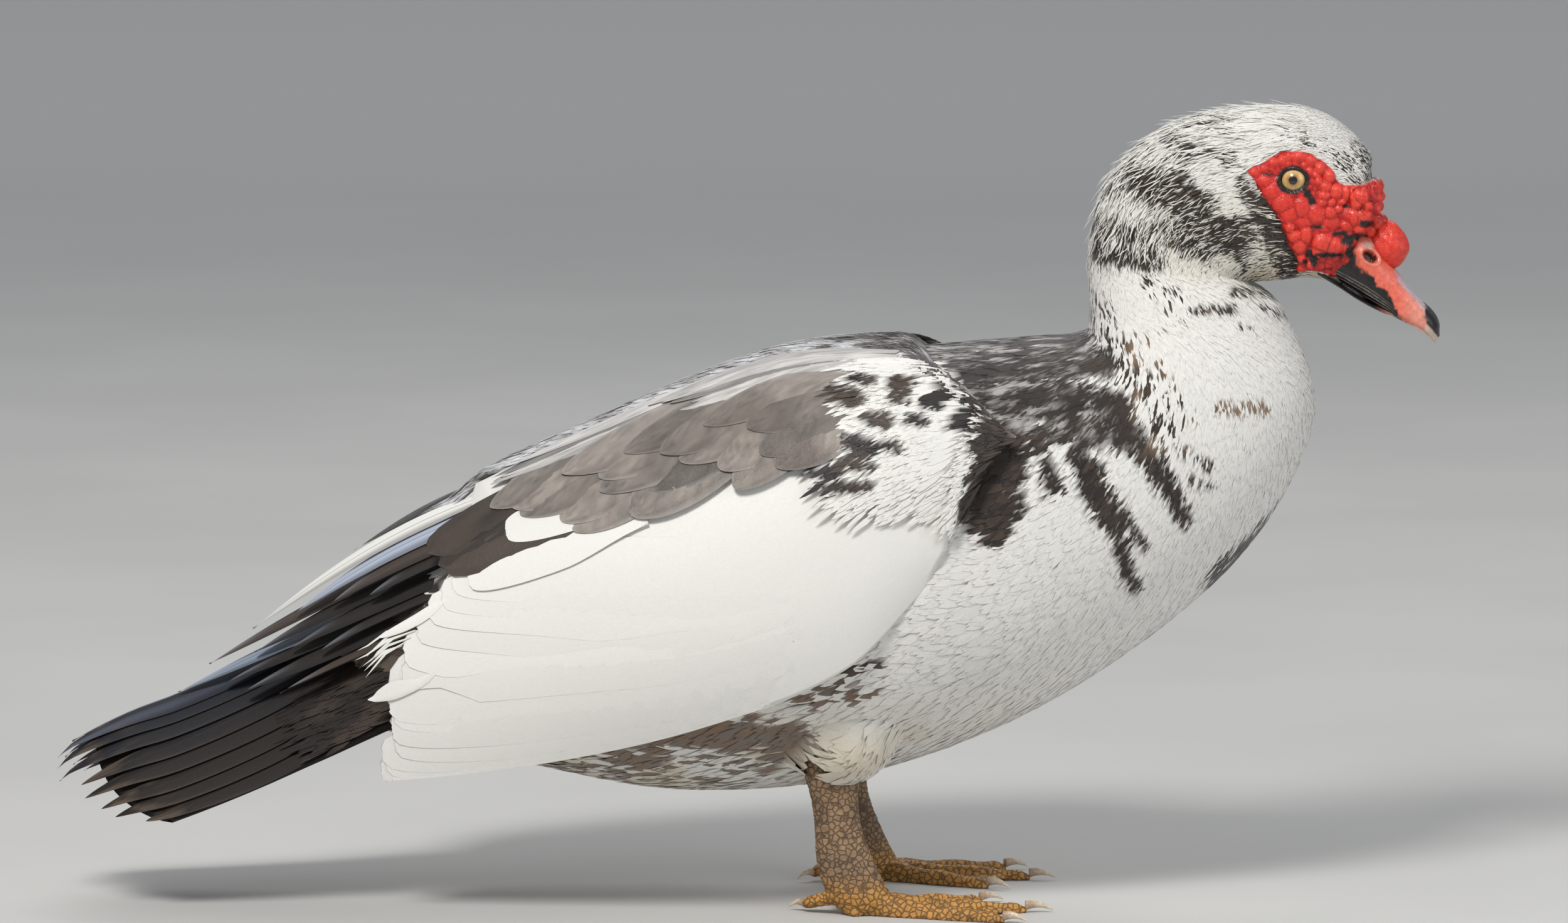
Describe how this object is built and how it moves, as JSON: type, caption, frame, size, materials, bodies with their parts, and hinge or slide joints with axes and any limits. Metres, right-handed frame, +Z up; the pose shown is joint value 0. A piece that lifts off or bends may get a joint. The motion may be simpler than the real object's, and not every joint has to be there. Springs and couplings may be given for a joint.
{
  "type": "muscovy duck",
  "caption": "Muscovy drake standing at rest, a still life-size bird with folded wings, drooping tail, warty red mask, knobbed bill and webbed feet.",
  "frame": {"origin": "centre of the bounding box in plan, at the level of the soles", "axes": "+X the way the bird faces, +Y to its left, +Z up"},
  "size_m": [0.7464, 0.2304, 0.4336],
  "materials": {
    "plumage": "soft small feathers, white with brown-black mottling",
    "wing_feathers": "smooth large feathers, white and grey-brown",
    "tail_feathers": "dark stiff feathers with a faint sheen",
    "red_skin": "moist warty bare skin",
    "bill_horn": "satin horn, pink-orange with black sides",
    "bill_nail": "polished dark horn with a pale edge",
    "eye": "wet amber iris with a black pupil",
    "leg_scales": "small net-like scales, brown to orange",
    "claw_horn": "pale satin horn"
  },
  "bodies": {
    "root": {"trunk": "plumage", "neck": "plumage", "head": "plumage", "thigh_right": "plumage", "thigh_left": "plumage", "wing_right": "wing_feathers", "wing_left": "wing_feathers", "tail": "tail_feathers", "knob": "red_skin", "bill_upper": "bill_horn", "bill_lower": "bill_horn", "bill_nail": "bill_nail", "eye_right": "eye", "eye_left": "eye", "shank_right": "leg_scales", "shank_left": "leg_scales", "foot_right": "leg_scales", "foot_left": "leg_scales", "claw_inner_right": "claw_horn", "claw_middle_right": "claw_horn", "claw_outer_right": "claw_horn", "claw_hind_right": "claw_horn", "claw_inner_left": "claw_horn", "claw_middle_left": "claw_horn", "claw_outer_left": "claw_horn", "claw_hind_left": "claw_horn"}
  },
  "joints": []
}
